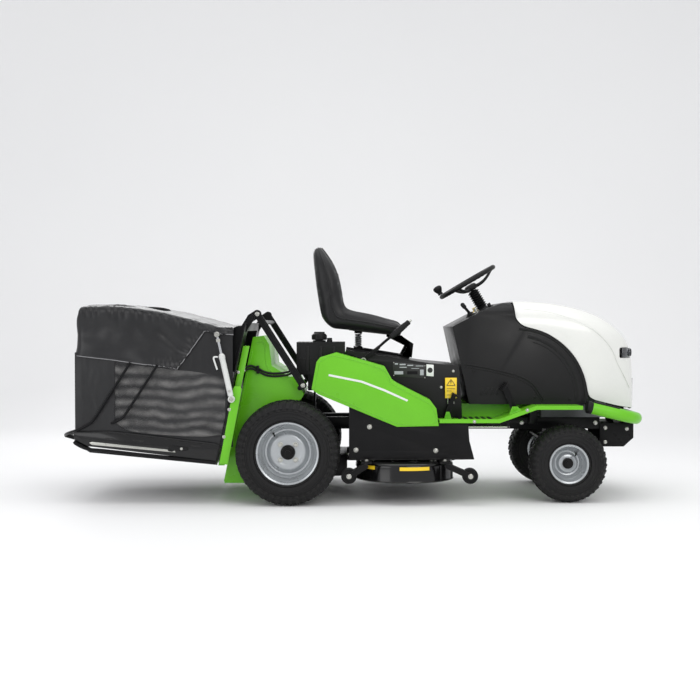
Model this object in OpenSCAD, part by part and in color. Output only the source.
// Riding lawn mower with rear grass collector.
// Machine frame: +X forward, +Y to the driver's left, +Z up, ground at z = 0.
// Stations along x count from a point under the seat; the whole machine is then centred.

/* [Overall] */
// Distance between the rear and front axles
wheelbase = 1373; // [1340:1:1700]
// Distance between the mid planes of the two rear tyres
track = 840; // [830:2:1040]

/* [Wheels] */
// Outside diameter of a rear tyre
rear_tyre_d = 508; // [440:2:520]
// Width of a rear tyre
rear_tyre_w = 203; // [150:1:210]
// Bead seat diameter of a rear rim
rear_rim_d = 290; // [230:2:320]
// Outside diameter of a front tyre
front_tyre_d = 381; // [320:1:390]
// Width of a front tyre
front_tyre_w = 150; // [110:1:156]
// Bead seat diameter of a front rim
front_rim_d = 180; // [140:2:200]
// Distance between the mid planes of the two front tyres
front_track = 680; // [676:2:760]

/* [Cutting deck] */
// Distance between the two blade spindles
blade_gap = 500; // [470:2:600]
// Radius of each blade chamber
chamber_r = 248; // [200:1:290]
// Height of the deck shell
deck_h = 96; // [80:1:115]
// Ground clearance of the raised deck
deck_z = 109; // [90:1:109]

/* [Seat] */
// Width of the seat
seat_w = 460; // [380:5:540]
// Height of the seat pan's pivot above the ground
seat_pivot_z = 768; // [760:1:900]

/* [Steering] */
// Diameter of the steering wheel, to the middle of its rim
wheel_d = 305; // [250:5:400]
// Rake of the steering column from the vertical
column_rake = 30.5; // [20:0.5:40]

/* [Grass box] */
// Width of the grass box
bag_w = 910; // [880:2:1090]
// Height of the grass box's hinge above the ground
bag_pivot_z = 905; // [905:1:960]

/* [Body] */
// Width of the front bonnet at its rear
hood_w = 560; // [500:2:600]
// Width of the body under the seat
tunnel_w = 560; // [500:2:570]
// Thickness of the sheet covers
sheet = 4; // [2:0.5:5]
// Diameter of the bumper tube
bumper_d = 60; // [40:2:64]

/* [Hidden] */
$fn = 48;

// colours
green = "limegreen";
black = "#202022";
silver = "#b4b9bc";

// clearances
run = 0.05;      // radial, round running fits
gap = 1;         // between bodies that pass each other
flat_cut = 1;    // depth of the tyre's contact flat
end_swell = 1;   // how much wider a link's round end is than its bar

// stations and the shift that centres the machine
rear_axle_x = -316;
front_axle_x = rear_axle_x + wheelbase;
fs = front_axle_x - 1057;            // shift of the front group
hs = (hood_w - 560) / 2;             // half of the bonnet's extra width
ws = (track - 840) / 2;              // half of the track's extra width
bumper_front_x = 1455 + fs;
hoop_rear_x = -1436;
x_mid = (bumper_front_x + hoop_rear_x) / 2;

// wheels
rear_axle_z = rear_tyre_d / 2 - flat_cut;
front_axle_z = front_tyre_d / 2 - flat_cut;
half_shaft_r = 20;
spindle_r = 10;

// chassis rails
rail_y = 100;      // inner face of a rail
rail_w = 40;
rail_z = 340;
rail_h = 60;
rail_top = rail_z + rail_h;
rail_rear_x = -384;
rail_front_x = 1262 + fs;         // the rails end on the nose plate

// front axle
kingpin_y = front_track / 2 - front_tyre_w / 2 - 30;
kingpin_r = 11;
boss_r = 24;
boss_low = 16;     // boss starts this far above the spindle's axis
boss_h = 62;
arm_l = 90;        // steering arm
pivot_pin_r = 12;
axle_pivot_z = front_axle_z + 60;

// side panels
cover_y = track / 2;                 // outer face of a side cover
cover_in_y = 300 + ws;
tunnel_y = tunnel_w / 2;
skirt_y = cover_y - 8;
cover_outline = [[-202, 559], [-178, 690], [-161, 712], [-81, 736], [153, 669],
  [190, 604], [213, 588], [374, 506], [405, 464], [417, 379], [213, 375],
  [-54, 485], [-170, 534]];

// footplates
foot_in_y = 200;
foot_out_y = 430 + ws;
foot_rear_x = 420;
foot_floor_z = 406;
foot_front_z = 475;
ramp_x0 = 712 + fs;
ramp_x1 = 893 + fs;
foot_front_x = 1116 + fs;

// bonnet and console
arc_x = 815 + fs;
arc_z = 505;
arc_r = 353;
hood_gap = 3;
hood_y = hood_w / 2;
hood_nose_y = 240 + hs;
hood_pivot_x = 1424 + fs;
hood_pivot_z = 452;
hinge_y = 100;
dash_y = 285 + hs;

// steering
wheel_x = 598 + fs;
wheel_z = 1095;
rim_tube_r = 12;
column_r = 22;
steer_shaft_r = 10;

// deck
deck_x = 258;
deck_top = deck_z + deck_h;
chamber_y = blade_gap / 2;
deck_half_l = 240;
outlet_y = 180;
roller_r = 38;
roller_y = chamber_y + chamber_r - 30;
roller_w = 44;
roller_rear_x = -20;
roller_front_x = 564;
roller_z = deck_z + 34;
roller_pin_r = 8;
guide_r = 8;
guide_x = [100, 420];
deck_travel = 75;

// grass box: the mouth plane leans back, z over x
mouth_x = 540;       // distance of the mouth plane behind the datum at mouth_z
mouth_z = 768;
lean = 0.211;        // run over rise of the mouth plane
bag_y = bag_w / 2;
bag_pivot_x = -500;
bag_pin_r = 10;
post_y = 400;
tower_y = 300;
arm_y = 352;
ear_y = 376;
ram_y = bag_y + 23;
ram_base = [-585, 514];
ram_eye = [-654, 824];
ram_r = 14;
rod_r = 7;
ram_pin_r = 8;

function mouth(z, back = 0) = [-mouth_x + (z - mouth_z) * lean - back, z];

// ---------- helpers ----------
module centred() translate([-x_mid, 0, 0]) children();
module mirrored_y() mirror([0, 1, 0]) children();
module both() {
  children();
  mirrored_y() children();
}
// side profile (x, z) extruded across from y0 to y1
module across(y0, y1) translate([0, y1, 0]) rotate([90, 0, 0]) linear_extrude(y1 - y0) children();
// front profile (y, z) extruded along from x0 to x1
module along(x0, x1) translate([x0, 0, 0]) rotate([90, 0, 90]) linear_extrude(x1 - x0) children();
// round bar across, from y0 to y1 at (x, z)
module bar_y(x, z, r, y0, y1) translate([x, y1, z]) rotate([90, 0, 0]) cylinder(r = r, h = y1 - y0);
module block(x0, x1, y0, y1, z0, z1) translate([x0, y0, z0]) cube([x1 - x0, y1 - y0, z1 - z0]);
// round bar between two points
module rod(a, b, r) {
  d = b - a;
  l = norm(d);
  translate(a) rotate([0, acos(d.z / l), atan2(d.y, d.x)]) cylinder(r = r, h = l);
}
module pipe(points, r) {
  for (i = [0 : len(points) - 2]) rod(points[i], points[i + 1], r);
  for (i = [1 : len(points) - 2]) translate(points[i]) sphere(r = r + 0.4, $fn = 32);
}
// flat link in the (x, z) plane between two points, with slightly swollen round ends
module link(a, b, w) {
  l = norm(b - a);
  translate(a) rotate(atan2(b.y - a.y, b.x - a.x)) translate([0, -w / 2]) square([l, w]);
  translate(a) circle(d = w + end_swell);
  translate(b) circle(d = w + end_swell);
}

// ---------- chassis ----------
module chassis_frame() centred() color(black) difference() {
  union() {
    both() block(rail_rear_x, rail_front_x, rail_y, rail_y + rail_w, rail_z, rail_top);
    for (x = [-200, 40, 500, 845 + fs, 1220 + fs])
      block(x, x + 40, -rail_y, rail_y, rail_z, rail_top);
    // outriggers under the side panels
    both() for (x = [40, 480])
      block(x, x + 40, rail_y + rail_w, skirt_y - sheet, rail_z, rail_top - 35);
    // tank shelf and its upright
    block(-200, -190, -rail_y - rail_w, -rail_y, rail_top, 544);
    block(-225, -50, -280, -70, 544, 554);
    // front outriggers that carry the footplates
    both() block(ramp_x0 - 40, ramp_x0, rail_y + rail_w, foot_in_y + 60, rail_top - 30,
      foot_floor_z - sheet);
    both() block(ramp_x1, ramp_x1 + 40, rail_y + rail_w, foot_in_y + 8, rail_top - 30, rail_top);
    both() block(ramp_x1, ramp_x1 + 40, foot_in_y, foot_in_y + 8, rail_top, foot_front_z - sheet);
  }
  for (x = guide_x, s = [-1, 1])
    translate([x, s * (rail_y + rail_w / 2), rail_z - 1])
      cylinder(r = guide_r + run, h = rail_h + 2);
}

// two plates under the rails that carry the front axle's pivot
module axle_hanger() centred() color(black) difference() {
  union() {
    block(front_axle_x - 55, front_axle_x - 35, -60, 60, axle_pivot_z - 30, rail_z);
    block(front_axle_x + 35, front_axle_x + 55, -60, 60, axle_pivot_z - 30, rail_z);
    both() block(front_axle_x - 55, front_axle_x + 55, 45, rail_y, rail_z, rail_top);
  }
  for (x = [front_axle_x - 56, front_axle_x + 34])
    translate([x, 0, axle_pivot_z]) rotate([0, 90, 0]) cylinder(r = pivot_pin_r + run, h = 22);
}

module front_plate() centred() color(black) {
  nose = [[1262 + fs, 249], [1384 + fs, 249], [1434 + fs, 294], [1434 + fs, 368], [1262 + fs, 368]];
  difference() {
    across(-145, 145) polygon(nose);
    across(-141, 141) offset(delta = -sheet) polygon(nose);
    block(1250 + fs, 1300 + fs, -141, 141, 253, 364);
  }
  // lugs that carry the bumper and the bonnet's hinge
  both() across(hinge_y - 8, hinge_y) difference() {
    polygon([[1345 + fs, 368], [1394.5 + fs, 368], [1394.5 + fs, 446], [1424 + fs, 446],
      [1424 + fs, 458], [1345 + fs, 458]]);
    translate([hood_pivot_x, hood_pivot_z]) circle(r = 4);
  }
  both() bar_y(hood_pivot_x, hood_pivot_z, 5, hinge_y - 8, hinge_y + 10);
}

module side_skirts() centred() color(black) both() difference() {
  across(skirt_y - sheet, skirt_y) polygon([[-20, 212], [591, 216], [567, 306], [560, 400],
    [425, 400], [417, 379], [213, 375], [-20, 469]]);
  for (p = [[80, 374], [14, 261], [403, 258]])
    bar_y(p.x, p.y, 5, skirt_y - sheet - 1, skirt_y + 1);
}

// ---------- body panels ----------
module tunnel_outline() polygon([[-36, 500], [-36, 747], [288, 694], [382, 680], [526, 667],
  [536, 560], [545, 408], [425, 408], [300, rail_top], [60, rail_top]]);

module seat_tunnel() centred() color(black) {
  tunnel_shell();
  // fixed rails under the seat frame, and pivot pin of the lift lever
  both() across(118, 138) polygon([seat_line(-34, 0), seat_line(287, 0), seat_line(287, rail_up),
    seat_line(-34, rail_up)]);
  mirrored_y() bar_y(lever_pivot.x, lever_pivot.y, 8, tunnel_y - sheet, lever_y + 8);
}
module tunnel_shell() difference() {
  across(-tunnel_y, tunnel_y) tunnel_outline();
  across(-tunnel_y + sheet, tunnel_y - sheet) offset(delta = -sheet) tunnel_outline();
  block(0, 445, -tunnel_y + 30, tunnel_y - 30, rail_top - 10, rail_top + 40);
}

module side_cover() {
  color(green) difference() {
    union() {
      difference() {
        across(cover_in_y, cover_y) polygon(cover_outline);
        across(cover_in_y - 1, cover_y - sheet) offset(delta = -sheet) polygon(cover_outline);
      }
      for (p = [[0, 620], [0, 540], [330, 450], [120, 640]])
        bar_y(p.x, p.y, 9, tunnel_y, cover_y - sheet);
    }
  }
}
module side_cover_left() centred() side_cover();
module side_cover_right() centred() mirrored_y() side_cover();

module footplate() {
  color(green) {
    floor_line = [[foot_rear_x, foot_floor_z - sheet], [ramp_x0, foot_floor_z - sheet],
      [ramp_x1, foot_front_z - sheet], [foot_front_x, foot_front_z - sheet],
      [foot_front_x, foot_front_z], [ramp_x1 - 1, foot_front_z],
      [ramp_x0 - 1, foot_floor_z], [foot_rear_x, foot_floor_z]];
    rail_line = [[foot_rear_x, foot_floor_z - 12], [ramp_x0, foot_floor_z - 12],
      [ramp_x1, foot_front_z - 16], [foot_front_x, foot_front_z - 16],
      [foot_front_x, foot_front_z + 3], [ramp_x1 - 2, foot_front_z + 3],
      [ramp_x0 - 2, foot_floor_z + 7], [foot_rear_x, foot_floor_z + 7]];
    across(foot_in_y, foot_out_y - 12) polygon(floor_line);
    difference() {
      across(foot_out_y - 12, foot_out_y) polygon(rail_line);
      for (p = [[589, 401], [846 + fs, 457]]) bar_y(p.x, p.y, 4, foot_out_y - 13, foot_out_y + 1);
    }
    pedal_lugs();
    // inner wall of the footwell
    across(foot_in_y, foot_in_y + sheet) polygon([[550, foot_floor_z], [550, 473],
      [ramp_x1 - 8, 473], [ramp_x0, foot_floor_z]]);
  }
}
module footplate_left() centred() footplate();
module footplate_right() centred() mirrored_y() {
  footplate();
  color(green) heel_lug();
}

module arc_disc(r) translate([arc_x, arc_z]) circle(r = r, $fn = 96);

// plan and front view outlines shared by the bonnet and the console
module hood_plan(inset = 0) {
  offset(delta = -inset) polygon([[560 + fs, -hood_y], [1120 + fs, -hood_y], [1250 + fs, -hood_y + 12],
    [1350 + fs, -hood_nose_y + 16], [1410 + fs, -hood_nose_y + 62], [1436 + fs, -hood_nose_y + 130],
    [1436 + fs, hood_nose_y - 130], [1410 + fs, hood_nose_y - 62], [1350 + fs, hood_nose_y - 16],
    [1250 + fs, hood_y - 12], [1120 + fs, hood_y], [560 + fs, hood_y]]);
}
module crown(half, top, r, inset = 0) {
  w = half - inset;
  t = top - inset;
  translate([-w, 300]) square([2 * w, t - r - 300]);
  translate([-w + r, 300]) square([2 * (w - r), t - 300]);
  for (s = [-1, 1]) translate([s * (w - r), t - r]) circle(r = r);
}

module hood_profile() difference() {
  polygon([[807 + fs, 992], [900 + fs, 992], [993 + fs, 984], [1100 + fs, 965], [1203 + fs, 938],
    [1282 + fs, 898], [1360 + fs, 835], [1408 + fs, 770], [1428 + fs, 690], [1436 + fs, 604],
    [1436 + fs, 450], [1337 + fs, 464], [1176 + fs, 507], [1100 + fs, 507],
    [860 + fs, 862], [842 + fs, 868], [816 + fs, 896]]);
  arc_disc(arc_r + hood_gap);
}

module hood_shell() centred() color("white") {
  difference() {
    intersection() {
      across(-hood_y, hood_y) hood_profile();
      translate([0, 0, 400]) linear_extrude(700) hood_plan();
      along(700 + fs, 1500 + fs) crown(hood_y, 992, 110);
    }
    intersection() {
      across(-hood_y, hood_y) difference() {
        offset(delta = -sheet) polygon([[700 + fs, 992], [900 + fs, 992], [993 + fs, 984],
          [1100 + fs, 965], [1203 + fs, 938], [1282 + fs, 898], [1360 + fs, 835],
          [1408 + fs, 770], [1428 + fs, 690], [1436 + fs, 604], [1436 + fs, 300],
          [700 + fs, 300]]);
      }
      translate([0, 0, 290]) linear_extrude(800) hood_plan(sheet);
      along(690 + fs, 1500 + fs) crown(hood_y, 992, 106, sheet);
    }
    // grille opening and headlight openings
    block(1400 + fs, 1440 + fs, -90, 90, 486, 596);
    both() block(1370 + fs, 1440 + fs, 118, 196, 706, 756);
  }
  // hinge ears
  both() difference() {
    across(hinge_y + 1, hinge_y + 7) polygon([[1424 + fs - 9, 443], [1432 + fs, 452],
      [1433 + fs, 480], [1410 + fs, 480]]);
    bar_y(hood_pivot_x, hood_pivot_z, 5 + run, hinge_y, hinge_y + 8);
  }
}

module hood_grille() centred() color(black) {
  block(1424 + fs, 1428 + fs, -89.7, 89.7, 486.3, 595.7);
  for (i = [0 : 7]) block(1428 + fs, 1434 + fs, -89.7, 89.7, 490 + i * 13.5, 495 + i * 13.5);
}

module headlights() centred() color(black) both() {
  block(1372 + fs, 1402 + fs, 118.3, 195.7, 706.3, 755.7);
}

module dash_profile() polygon([[495 + fs, 862], [566 + fs, 900], [660 + fs, 948], [754 + fs, 982],
  [792 + fs, 984], [813 + fs, 892], [842 + fs, 864], [860 + fs, 857],
  [815 + fs, 700], [1100 + fs, 520], [1168 + fs, foot_front_z], [700 + fs, foot_front_z],
  [579 + fs, 477], [561 + fs, 565], [537 + fs, 670]]);

module dash_outline() {
  dash_profile();
  intersection() {
    arc_disc(arc_r);
    translate([640 + fs, foot_front_z]) square([600, 385]);
  }
}

module dash_fairing() centred() color(black) {
  dash_shell();
  // pivot of the throttle lever
  mirrored_y() translate([fs, 0, 0]) {
    bar_y(throttle_pivot.x, throttle_pivot.y, 4, 180, 202);
    across(180, 188) polygon([[572, 902], [622, 926], [602, 937], [582, 937]]);
  }
}
module dash_shell() difference() {
  intersection() {
    across(-dash_y, dash_y) dash_outline();
    along(400 + fs, 1300 + fs) crown(dash_y, 984, 70);
  }
  intersection() {
    across(-dash_y + sheet, dash_y - sheet) difference() {
      offset(delta = -sheet) dash_outline();
    }
    along(400 + fs, 1300 + fs) crown(dash_y, 984, 70, sheet);
  }
  // open below and towards the engine
  block(600 + fs, 1200 + fs, -dash_y + 24, dash_y - 24, foot_front_z - 10, foot_front_z + 20);
  block(860 + fs, 1200 + fs, -dash_y + 70, dash_y - 70, foot_front_z - 10, 840);
  // column hole
  translate([wheel_x, 0, wheel_z]) rotate([0, 180 - column_rake, 0]) translate([0, 0, 60])
    cylinder(r = column_r + 0.4, h = 240);
}

module bumper_legs() {
  rise = 63;
  run_x = 265;
  slope = atan(rise / run_x);
  l = norm([rise, run_x]);
  bend = 120;
  leg_y = 330 + hs;
  r = bumper_d / 2;
  translate([bumper_front_x - r - run_x, 0, 465]) rotate([0, slope, 0]) {
    both() {
      translate([0, leg_y, 0]) rotate([0, 90, 0]) cylinder(r = r, h = l - bend);
      translate([l - bend, leg_y - bend, 0]) rotate_extrude(angle = 90) translate([bend, 0]) circle(r = r);
    }
    translate([l, leg_y - bend, 0]) rotate([90, 0, 0]) cylinder(r = r, h = 2 * (leg_y - bend));
  }
}
module bumper() centred() color(green) bumper_legs();

// ---------- power and drive ----------
module fuel_tank() centred() color(black) {
  difference() {
    union() {
      block(-281, -40, -290, -60, 622, 785);
      block(-225, -60, -280, -70, 554, 622);
      translate([-170, -200, 785]) cylinder(r = 30, h = 8);
      translate([-118, -200, 785]) cylinder(r = 12, h = 18);
    }
    block(-277, -44, -286, -64, 626, 781);
    translate([-170, -200, 775]) cylinder(r = 22, h = 30);
  }
}
module fuel_cap() centred() color(black) difference() {
  union() {
    translate([-170, -200, 794]) cylinder(r = 35, h = 32);
    translate([-170, -200, 770]) cylinder(r = 21.9, h = 26);
    for (i = [0 : 11]) rotate_about(-170, -200, i * 30) translate([35, 0, 810])
      cylinder(r = 4, h = 30, center = true);
  }
}
module rotate_about(x, y, a) translate([x, y, 0]) rotate([0, 0, a]) children();

module engine() centred() color("dimgray") translate([fs, 0, 0]) {
  block(960, 1290, -150, 150, rail_top, 560);
  translate([1125, 0, 560]) cylinder(r = 150, h = 90);
  translate([1125, 0, 650]) cylinder(r = 90, h = 70);
  // cylinders of the twin
  both() translate([1180, 60, 490]) rotate([-70, 0, 0]) cylinder(r = 55, h = 130);
  // silencer in front
  bar_y(1315, 522, 36, -110, 110);
  // output pulley below
  translate([1168, 0, rail_top - 70]) cylinder(r = 14, h = 70);
  translate([1168, 0, rail_top - 60]) cylinder(r = 50, h = 24);
}

module battery() centred() color(black) translate([fs, 0, 0]) {
  block(800, 930, -85, 85, rail_top, 570);
  both() translate([830, 60, 570]) cylinder(r = 9, h = 14);
}

module transaxle() centred() color("dimgray") difference() {
  union() {
    block(-376, -226, -98, 98, 226, rail_top - 10);
    both() bar_y(rear_axle_x, rear_axle_z, 34, 98, 290 + ws);
    translate([-270, 0, rail_top - 10]) cylinder(r = 70, h = 26);
  }
  both() bar_y(rear_axle_x, rear_axle_z, half_shaft_r + run, 40, 300 + ws);
}

module discharge_duct() centred() color(black) difference() {
  across(-190, 190) polygon([[-30, 108], [-30, 212], [-200, 216], [-384, 216], [-384, 96],
    [-200, 96]]);
  across(-186, 186) polygon([[-20, 112], [-20, 208], [-200, 212], [-394, 212], [-394, 100],
    [-200, 100]]);
}

module tower_outline() polygon([[-497, 810], [-444, 818], [-417, 774], [-404, 668], [-320, 615],
  [-293, 615], [-244, 526], [-258, 500], [-384, 430], [-384, 92], [-643, 92]]);

module chute_tower() centred() color(green) difference() {
  across(-tower_y, tower_y) tower_outline();
  across(-tower_y + sheet, tower_y - sheet) difference() {
    offset(delta = -sheet) tower_outline();
  }
  // open towards the grass box and towards the duct
  across(-tower_y + sheet, tower_y - sheet) polygon([[-480, 790], [-622, 130], [-720, 130], [-560, 810]]);
  block(-390, -380, -186, 186, 100, 212);
  // relief for the axle tubes
  both() bar_y(rear_axle_x, rear_axle_z, 60, 200, 310);
}

module bag_posts() centred() color(green) {
  both() {
    difference() {
      across(post_y, post_y + 6) polygon([[-504, 768], [-535, 768], [-658, 185], [-627, 185]]);
      bar_y(ram_base.x, ram_base.y, 4, post_y - 1, post_y + 7);
    }
    across(tower_y, post_y) polygon([[-529, 768], [-535, 768], [-658, 185], [-652, 185]]);
    // bracket and pin that carry the ram
    bar_y(ram_base.x, ram_base.y, ram_pin_r, post_y + 6, ram_y + 16);
  }
  // cross rail that ties the posts under the tower
  block(-640, -400, -tower_y, tower_y, 84, 92);
}

module brace_arms() centred() color(black) both() {
  difference() {
    across(arm_y, arm_y + 16) {
      link([-246, 573], [-470, 924], 34);
      link([-470, 924], [bag_pivot_x, bag_pivot_z], 40);
    }
    bar_y(bag_pivot_x, bag_pivot_z, 6, arm_y - 1, arm_y + 17);
  }
  bar_y(bag_pivot_x, bag_pivot_z, bag_pin_r, arm_y + 2, ear_y + 12);
  // spacer down to the tower
  bar_y(-262, 560, 12, tower_y, arm_y);
  // tie between the arms
  bar_y(-444, 884, 11, 0, arm_y);
}

module hydraulic_hoses() centred() color(black) {
  for (dz = [0, 14]) pipe([[-546, -340, 640 + dz], [-503, -310, 655 + dz], [-430, -307, 619 + dz],
    [-330, -305, 622 + dz], [-286, -280, 640 + dz]], 5);
  // clip on the tower's side
  block(-478, -466, -320, -tower_y, 630, 668);
}

module body_bolts() centred() color(silver) both() {
  for (p = [[80, 374], [14, 261], [403, 258]]) {
    bar_y(p.x, p.y, 5, skirt_y - sheet, skirt_y);
    bar_y(p.x, p.y, 10, skirt_y, skirt_y + 5);
  }
  for (p = [[589, 401], [846 + fs, 457]]) {
    bar_y(p.x, p.y, 4, foot_out_y - 12, foot_out_y);
    bar_y(p.x, p.y, 7, foot_out_y, foot_out_y + 5);
  }
}

// ---------- steering ----------
module on_column() translate([wheel_x, 0, wheel_z]) rotate([0, 180 - column_rake, 0]) children();

module steering_column() centred() color(black) {
  on_column() difference() {
    union() {
      translate([0, 0, 46]) cylinder(r = column_r, h = 354);
      // bellows
      for (i = [0 : 7]) translate([0, 0, 62 + i * 12]) rotate_extrude() translate([24, 0]) circle(r = 7);
    }
    translate([0, 0, 40]) cylinder(r = steer_shaft_r + run, h = 300);
  }
  translate([arc_x - 18, 0, 740]) cube([90, 90, 70], center = true);
}

module steering_wheel() centred() color(black) on_column() {
  rotate_extrude($fn = 96) translate([wheel_d / 2, 0]) circle(r = rim_tube_r, $fn = 32);
  translate([0, 0, -6]) cylinder(r = 34, h = 34);
  cylinder(r = steer_shaft_r, h = 300);
  for (a = [60, 180, 300]) rotate([0, 0, a]) rod([28, 0, 14], [wheel_d / 2, 0, 0], 8);
}

knob_pos = [wheel_d / 2, 0, -rim_tube_r];
module steering_knob() centred() color(black) on_column() rotate([0, 0, 180]) translate([-knob_pos.x, 0, 0])
  rotate([180, 0, 0]) {
  translate([0, 0, rim_tube_r + 0.5]) cylinder(r = 12, h = 6);
  translate([0, 0, rim_tube_r + 6]) cylinder(r1 = 15, r2 = 22, h = 24);
  translate([0, 0, rim_tube_r + 30]) cylinder(r1 = 22, r2 = 14, h = 18);
}

// ---------- wheels ----------
// outline of half a tyre section: radius, half width
module tyre_section(d, w, rim_d) polygon([for (s = [-1, 1], p = s < 0
  ? [[rim_d / 2, 0.38], [rim_d / 2 + 10, 0.42], [rim_d / 4 + d / 4, 0.5], [d / 2 - 26, 0.48],
     [d / 2 - 10, 0.41], [d / 2 - 3, 0.32], [d / 2, 0.2]]
  : [[d / 2, 0.2], [d / 2 - 3, 0.32], [d / 2 - 10, 0.41], [d / 2 - 26, 0.48],
     [rim_d / 4 + d / 4, 0.5], [rim_d / 2 + 10, 0.42], [rim_d / 2, 0.38]])
  [p[0], s * p[1] * w]]);

module tyre(d, w, rim_d) color("#18181a") difference() {
  rotate([90, 0, 0]) rotate_extrude($fn = 96) tyre_section(d, w, rim_d);
  translate([-d / 2, -w, -d]) cube([d, 2 * w, d / 2 + flat_cut]);
}

// dished steel rim; the outer side faces +Y
module rim(d, w, bore_r, hub_r) {
  rr = d / 2;
  hw = w * 0.38;
  wall = 6;
  rotate([-90, 0, 0]) rotate_extrude($fn = 96) polygon([[bore_r, -10], [bore_r, 30], [hub_r, 30],
    [hub_r, 16], [rr - 40, 16], [rr - 20, -2], [rr - wall, -2], [rr - wall, hw], [rr, hw],
    [rr, -hw], [rr - wall, -hw], [rr - wall, -10], [rr - 22, -10], [rr - 42, 8], [hub_r, 8],
    [hub_r, -10]]);
}

module at_rear_wheel() translate([rear_axle_x, track / 2, rear_axle_z]) children();
module at_front_wheel() translate([front_axle_x, front_track / 2, front_axle_z]) children();

module rear_rim() at_rear_wheel() color(silver) {
  rim(rear_rim_d, rear_tyre_w, half_shaft_r - 2, 40);
  bar_y(0, 0, half_shaft_r, -track / 2 + 60, 30);
  for (a = [45 : 90 : 315]) bar_y(52 * cos(a), 52 * sin(a), 8, 16, 26);
  bar_y(0, 0, 26, 30, 36);
  bar_y(0, 0, 11, 36, 44);
}
module rear_tyre() at_rear_wheel() tyre(rear_tyre_d, rear_tyre_w, rear_rim_d);
module front_rim() at_front_wheel() color(silver) {
  rim(front_rim_d, front_tyre_w, spindle_r + run, 28);
}
module front_tyre() at_front_wheel() tyre(front_tyre_d, front_tyre_w, front_rim_d);

module rear_rim_left() centred() rear_rim();
module rear_rim_right() centred() mirrored_y() rear_rim();
module rear_tyre_left() centred() rear_tyre();
module rear_tyre_right() centred() mirrored_y() rear_tyre();
module front_rim_left() centred() front_rim();
module front_rim_right() centred() mirrored_y() front_rim();
module front_tyre_left() centred() front_tyre();
module front_tyre_right() centred() mirrored_y() front_tyre();

// ---------- front axle ----------
module front_axle() centred() color(black) translate([front_axle_x, 0, 0]) difference() {
  union() {
    block(-25, 25, -kingpin_y, kingpin_y, front_axle_z + boss_low + 6, front_axle_z + boss_low + 56);
    both() translate([0, kingpin_y, front_axle_z + boss_low]) cylinder(r = boss_r, h = boss_h);
    block(-34, 34, -30, 30, front_axle_z + boss_low + 6, axle_pivot_z + 22);
    translate([-60, 0, axle_pivot_z]) rotate([0, 90, 0]) cylinder(r = pivot_pin_r, h = 120);
  }
  both() translate([0, kingpin_y, 0]) cylinder(r = kingpin_r + run, h = 500);
}

module knuckle() translate([front_axle_x, kingpin_y, front_axle_z]) color(black) {
  // spindle, kingpin and the arm on top of it
  bar_y(0, 0, spindle_r, -10, front_track / 2 - kingpin_y + 34);
  bar_y(0, 0, 15, -10, boss_r + 2);
  bar_y(0, 0, 24, boss_r + 2, front_track / 2 - kingpin_y - 12);
  translate([0, 0, -14]) cylinder(r = 20, h = 14 + boss_low - gap / 2);
  cylinder(r = kingpin_r, h = boss_low + boss_h + 14);
  translate([0, 0, boss_low + boss_h + gap / 2]) linear_extrude(10) difference() {
    link_xy(arm_l, 26);
    translate([-arm_l, 0]) circle(r = 6 + run);
  }
  bar_y(0, 0, 16, front_track / 2 - kingpin_y + 30 + gap / 2, front_track / 2 - kingpin_y + 40);
}
module link_xy(l, w) {
  translate([-l, -w / 2]) square([l, w]);
  circle(d = w);
  translate([-l, 0]) circle(d = w);
}
module knuckle_left() centred() knuckle();
module knuckle_right() centred() mirrored_y() knuckle();

tie_z = front_axle_z + boss_low + boss_h + gap / 2 + 10;
module tie_rod() centred() color(black) translate([front_axle_x - arm_l, 0, tie_z]) {
  both() {
    translate([0, kingpin_y, gap / 2]) cylinder(r = 14, h = 16);
    translate([0, kingpin_y, -14]) cylinder(r = 6, h = 20);
  }
  bar_y(0, gap / 2 + 8, 7, -kingpin_y, kingpin_y);
}

// ---------- seat ----------
seat_shift = seat_pivot_z - 768;
spring_z = 757;
spring_h = 70;
rail_up = 7;
function seat_line(x, up) = [x, 747 - (x + 36) * 0.1636 + up];
module seat_profile() polygon([[-202, 1248], [-177, 1284], [-158, 1276], [-100, 1187], [-68, 1106],
  [-55, 1035], [-47, 957], [-16, 940], [87, 925], [184, 899], [240, 886], [258, 862], [254, 816],
  [-42, 850], [-123, 857], [-154, 890], [-174, 1016], [-191, 1132]]);
module seat_cushion() centred() color("#1c1c1e") translate([0, 0, seat_shift]) intersection() {
  across(-seat_w / 2, seat_w / 2) seat_profile();
  union() {
    // plan outline of the base, front outline of the back
    translate([0, 0, 780]) linear_extrude(180) offset(r = 50) offset(delta = -50)
      translate([-240, -seat_w / 2]) square([500, seat_w]);
    along(-240, 0) offset(r = 80) offset(delta = -80)
      translate([-seat_w / 2, 760]) square([seat_w, 526]);
  }
}

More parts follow.
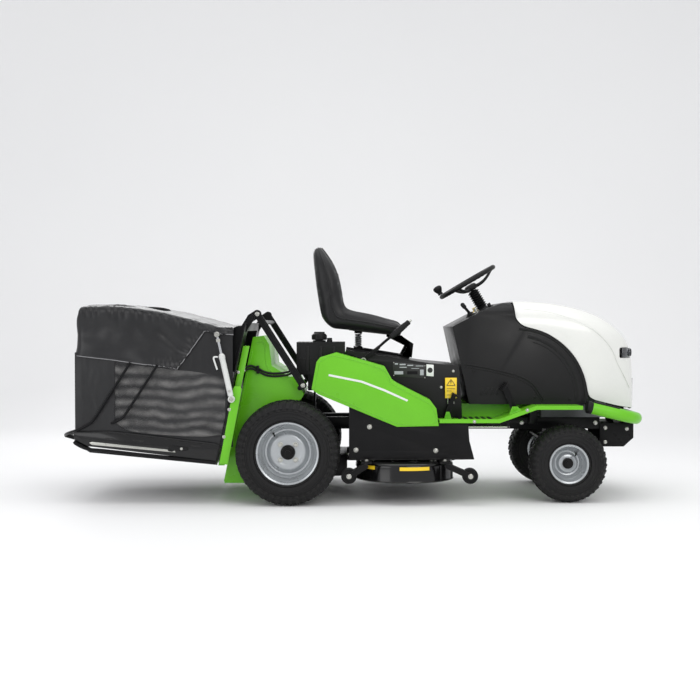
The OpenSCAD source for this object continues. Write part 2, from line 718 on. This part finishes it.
pan_x0 = -20;
pan_x1 = 300;
module seat_pan() centred() color(black) translate([0, 0, seat_shift]) {
  // plate under the cushion with the front hinge lugs
  difference() {
    union() {
      across(-150, 150) polygon([[pan_x0, 847.1], [252, 815.9], [252, 811.9], [pan_x0, 843.1]]);
      both() across(140, 148) polygon([[180, 822], [252, 813], [306, 776], [306, 760], [286, 756],
        [180, 808]]);
      both() translate([28, 100, spring_z + spring_h + 0.3]) cylinder(r = 20, h = 11);
    }
    both() bar_y(294, 768, 8 + run, 130, 160);
  }
}
module seat_slider() centred() color(black) {
  // lower seat frame: two runners on the rails, cross plates and the hinge posts in front
  both() across(120, 136) polygon([seat_line(4, rail_up + 0.3), seat_line(290, rail_up + 0.3),
    seat_line(290, 18 + seat_shift), seat_line(4, 18 + seat_shift)]);
  translate([0, 0, seat_shift]) {
    both() {
      across(150, 158) polygon([seat_line(250, 12), seat_line(300, 12), [308, 776], [286, 780]]);
      bar_y(294, 768, 8, 136, 158);
      across(136, 150) polygon([seat_line(250, 12), seat_line(288, 12), seat_line(288, 18),
        seat_line(250, 18)]);
      translate([28, 100, 749]) cylinder(r = 22, h = spring_z - 0.3 - 749);
    }
    across(-120, 120) polygon([seat_line(4, 10), seat_line(60, 10), seat_line(60, 16), seat_line(4, 16)]);
    across(-120, 120) polygon([seat_line(240, 10), seat_line(288, 10), seat_line(288, 16), seat_line(240, 16)]);
  }
}
module seat_springs() centred() color("dimgray") translate([28, 0, seat_shift]) both() difference() {
  translate([0, 100, spring_z]) cylinder(r = 18, h = spring_h);
  translate([0, 100, spring_z - 1]) cylinder(r = 13, h = spring_h + 2);
}

// ---------- cutting deck ----------
module deck_plan(inset = 0) {
  for (s = [-1, 1]) translate([deck_x, s * chamber_y]) circle(r = chamber_r - inset, $fn = 96);
  translate([deck_x - deck_half_l + inset, -chamber_y]) square([2 * (deck_half_l - inset), 2 * chamber_y]);
}
module deck_shell() centred() color(black) difference() {
  union() {
    translate([0, 0, deck_z]) linear_extrude(deck_h) deck_plan();
    // guide posts
    both() for (x = guide_x) translate([x, rail_y + rail_w / 2, deck_top - 1])
      cylinder(r = guide_r, h = rail_top + deck_travel + 6 - deck_top);
    // roller arms
    both() for (y = [roller_y - roller_w / 2 - 9, roller_y + roller_w / 2 + 3]) {
      across(y, y + 6) link([roller_rear_x, roller_z], [60, deck_top - 14], 26);
      across(y, y + 6) link([roller_front_x, roller_z], [455, deck_top - 14], 26);
    }
    both() for (x = [40, 420])
      block(x, x + 50, chamber_y - 60, roller_y + roller_w / 2 + 9, deck_top - 8, deck_top + 4);
    both() for (x = [roller_rear_x, roller_front_x])
      bar_y(x, roller_z, roller_pin_r, roller_y - roller_w / 2 - 12, roller_y + roller_w / 2 + 12);
  }
  difference() {
    translate([0, 0, deck_z - 1]) linear_extrude(deck_h - sheet + 1) deck_plan(sheet);
    // the arms' feet stay outside the chamber
  }
  // outlet to the duct
  block(deck_x - deck_half_l - 20, deck_x - deck_half_l + 20, -outlet_y, outlet_y, deck_z - 1, deck_top - 12);
  both() translate([deck_x, chamber_y, deck_z]) cylinder(r = 12 + run, h = 200);
}
module blade() translate([deck_x, chamber_y, 0]) color("gray") {
  translate([0, 0, deck_z + 12]) cylinder(r = 12, h = deck_h + 40);
  translate([0, 0, deck_z + 12]) cylinder(r = 30, h = 12);
  translate([-chamber_r + 18, -28, deck_z + 14]) cube([2 * chamber_r - 36, 56, 6]);
  translate([0, 0, deck_top + 14]) cylinder(r = 65, h = 22);
}
module blade_left() centred() blade();
module blade_right() centred() mirrored_y() blade();

module roller_pair(x) color(black) both() difference() {
  bar_y(x, roller_z, roller_r, roller_y - roller_w / 2, roller_y + roller_w / 2);
  bar_y(x, roller_z, roller_pin_r + run, roller_y - roller_w, roller_y + roller_w);
}
module deck_roller_front() centred() roller_pair(roller_front_x);
module deck_roller_rear() centred() roller_pair(roller_rear_x);

// ---------- controls ----------
lever_pivot = [52, 695];
lever_tip = [282, 889];
lever_y = tunnel_y + 10;
lever_dir = lever_tip - lever_pivot;
lever_l = norm(lever_dir);
module along_lever() translate([lever_pivot.x, lever_y, lever_pivot.y])
  rotate([0, 90 - atan2(lever_dir.y, lever_dir.x), 0]) children();
module lift_lever() centred() color(black) mirrored_y() {
  difference() {
    across(lever_y - 4, lever_y + 4) link(lever_pivot, lever_pivot + lever_dir * 0.3, 22);
    bar_y(lever_pivot.x, lever_pivot.y, 8 + run, lever_y - 6, lever_y + 6);
  }
  along_lever() translate([0, 0, 72]) cylinder(r = 7, h = 120);
  along_lever() translate([0, 0, 176]) cylinder(r = 15, h = lever_l - 176);
  along_lever() translate([0, 0, lever_l - 1]) cylinder(r = 6, h = 11);
}

// pedal in front of the driver: pivot at the floor, arm and pad
pedal_pivot = [798, 456];
module foot_pedal() translate([fs, 0, 0]) {
  difference() {
    across(322, 330) link(pedal_pivot, [752, 560], 30);
    bar_y(pedal_pivot.x, pedal_pivot.y, 8 + run, 320, 332);
  }
  across(290, 362) polygon([[738, 545], [768, 580], [762, 586], [730, 551]]);
}
// lug and pin on the sloping floor that carry a pedal
module pedal_lugs() {
  bar_y(pedal_pivot.x + fs, pedal_pivot.y, 8, 312, 346);
  across(334, 342) polygon([[770 + fs, 427.5], [830 + fs, 450.4], [812 + fs, 468], [786 + fs, 468]]);
}
module drive_pedal() centred() color(black) mirrored_y() foot_pedal();
module brake_pedal() centred() color(black) foot_pedal();

heel_pivot = [470, 430];
// lug and pin on the footwell floor that carry the heel pedal
module heel_lug() {
  bar_y(heel_pivot.x, heel_pivot.y, 6, 294, 318);
  across(310, 316) polygon([[452, foot_floor_z - 1], [488, foot_floor_z - 1], [478, 440], [462, 440]]);
}
module heel_pedal() centred() color(black) mirrored_y() {
  difference() {
    across(300, 306) link(heel_pivot, [500, 520], 22);
    bar_y(heel_pivot.x, heel_pivot.y, 6 + run, 290, 310);
  }
  across(286, 340) polygon([[488, 528], [528, 508], [532, 514], [492, 536]]);
}

throttle_pivot = [592, 927];
module throttle_lever() centred() color(black) translate([fs, 0, 0]) mirrored_y() {
  difference() {
    across(192, 198) link(throttle_pivot, [562, 962], 14);
    bar_y(throttle_pivot.x, throttle_pivot.y, 4 + run, 190, 200);
  }
  across(186, 204) link([562, 962], [554, 972], 20);
}

// ---------- grass box ----------
mouth_top = 880;
mouth_low = 196;
plate_t = 6;
module bag_frame() centred() color(black) {
  // mouth ring
  difference() {
    across(-bag_y, bag_y) polygon([mouth(mouth_top), mouth(mouth_low), mouth(mouth_low, plate_t),
      mouth(mouth_top, plate_t)]);
    across(-tower_y + 10, tower_y - 10) polygon([mouth(mouth_top - 40, -20), mouth(mouth_low + 34, -20),
      mouth(mouth_low + 34, 30), mouth(mouth_top - 40, 30)]);
  }
  // ears that reach the pivot
  both() difference() {
    across(ear_y, ear_y + 8) {
      link([bag_pivot_x, bag_pivot_z], mouth(850, 12), 36);
      polygon([mouth(860, 3), mouth(640, 3), mouth(640, 40), mouth(860, 60)]);
    }
    bar_y(bag_pivot_x, bag_pivot_z, bag_pin_r + run, ear_y - 5, ear_y + 20);
  }
  // bottom tubes and rear hoop handle
  both() pipe([[-663, bag_y - 60, 197], [-1283, bag_y - 60, 258], [-1352, bag_y - 60, 300],
    [-1352, bag_y - 90, 300]], 11);
  pipe([[-1352, -bag_y + 80, 300], [-1352, bag_y - 80, 300]], 11);
  pipe([[-1350, 300, 301], [hoop_rear_x + 11.4, 300, 322], [hoop_rear_x + 11.4, -300, 322],
    [-1350, -300, 301]], 10.5);
}

bag_side = [[-652, 872], [-747, 900], [-941, 950], [-1136, 972], [-1261, 974], [-1350, 876],
  [-1350, 320], [-1283, 284], [-678, 214]];
module bag_outline() polygon(concat([mouth(mouth_top - 8, plate_t)], bag_side,
  [mouth(mouth_low + 14, plate_t)]));
// part of the outline above the cover's hem
module above_hem() polygon([[-1400, 724], [-1350, 724], [-1151, 700], [-947, 671], [-847, 657],
  [-703, 862], [-575, 866], [-575, 1100], [-1400, 1100]]);
module below_tray() polygon([[-1400, 352], [-1153, 352], [-637, 290], [-400, 290], [-400, 100],
  [-1400, 100]]);
cloth = 5;

module bag_cover() centred() color("#151517") difference() {
  across(-bag_y, bag_y) intersection() {
    bag_outline();
    above_hem();
  }
  across(-bag_y + cloth, bag_y - cloth) intersection() {
    offset(delta = -cloth) bag_outline();
    translate([-1400, 0]) square([1400, 2000]);
  }
  // open underneath and towards the mouth
  across(-bag_y + cloth, bag_y - cloth) polygon([[-1345, 500], [-1345, 870], [-1300, 860],
    [-600, 862], [-500, 860], [-500, 500]]);
}

module bag_mesh() centred() color("#3a3a3c") difference() {
  across(-bag_y, bag_y) difference() {
    bag_outline();
    offset(delta = 1) above_hem();
    offset(delta = 1) below_tray();
  }
  across(-bag_y + sheet, bag_y - sheet) polygon([[-1346, 100], [-1346, 1200], [-400, 1200], [-400, 100]]);
}

module bag_tray() centred() color(black) difference() {
  across(-bag_y, bag_y) intersection() {
    bag_outline();
    below_tray();
  }
  across(-bag_y + sheet, bag_y - sheet) union() {
    intersection() {
      offset(delta = -sheet) bag_outline();
      polygon([[-1400, 700], [-400, 700], [-400, 100], [-1400, 100]]);
    }
    polygon([mouth(400, -20), mouth(mouth_low + 34, -20), mouth(mouth_low + 34, 20), mouth(400, 20)]);
  }
}

// lifting rams of the grass box
module ram_barrels() centred() color("whitesmoke") both() {
  dir = (ram_eye - ram_base) / norm(ram_eye - ram_base);
  a = ram_base + dir * 12;
  b = ram_base + dir * 225;
  difference() {
    union() {
      bar_y(ram_base.x, ram_base.y, 17, ram_y - 11, ram_y + 11);
      rod([a.x, ram_y, a.y], [b.x, ram_y, b.y], ram_r);
    }
    bar_y(ram_base.x, ram_base.y, ram_pin_r + run, ram_y - 20, ram_y + 20);
    c = ram_base + dir * 30;
    rod([c.x, ram_y, c.y], [ram_eye.x, ram_y, ram_eye.y], rod_r + run);
  }
}
module ram_rods() centred() color("silver") both() {
  dir = (ram_eye - ram_base) / norm(ram_eye - ram_base);
  a = ram_base + dir * 34;
  rod([a.x, ram_y, a.y], [ram_eye.x, ram_y, ram_eye.y], rod_r);
  bar_y(ram_eye.x, ram_eye.y, 13, ram_y - 10, ram_y + 10);
  bar_y(ram_eye.x, ram_eye.y, 6, bag_y + 0.6, ram_y - 10);
}

chassis_frame();
axle_hanger();
front_plate();
side_skirts();
seat_tunnel();
side_cover_right();
side_cover_left();
footplate_right();
footplate_left();
dash_fairing();
bumper();
fuel_tank();
fuel_cap();
engine();
battery();
transaxle();
discharge_duct();
chute_tower();
bag_posts();
brace_arms();
hydraulic_hoses();
body_bolts();
steering_column();
hood_shell();
hood_grille();
headlights();
rear_tyre_right();
rear_tyre_left();
rear_rim_right();
rear_rim_left();
front_tyre_right();
front_tyre_left();
front_rim_right();
front_rim_left();
front_axle();
knuckle_right();
knuckle_left();
tie_rod();
steering_wheel();
steering_knob();
seat_cushion();
seat_pan();
seat_slider();
seat_springs();
deck_shell();
blade_right();
blade_left();
deck_roller_front();
deck_roller_rear();
lift_lever();
drive_pedal();
brake_pedal();
heel_pedal();
throttle_lever();
bag_frame();
bag_tray();
bag_cover();
bag_mesh();
ram_barrels();
ram_rods();
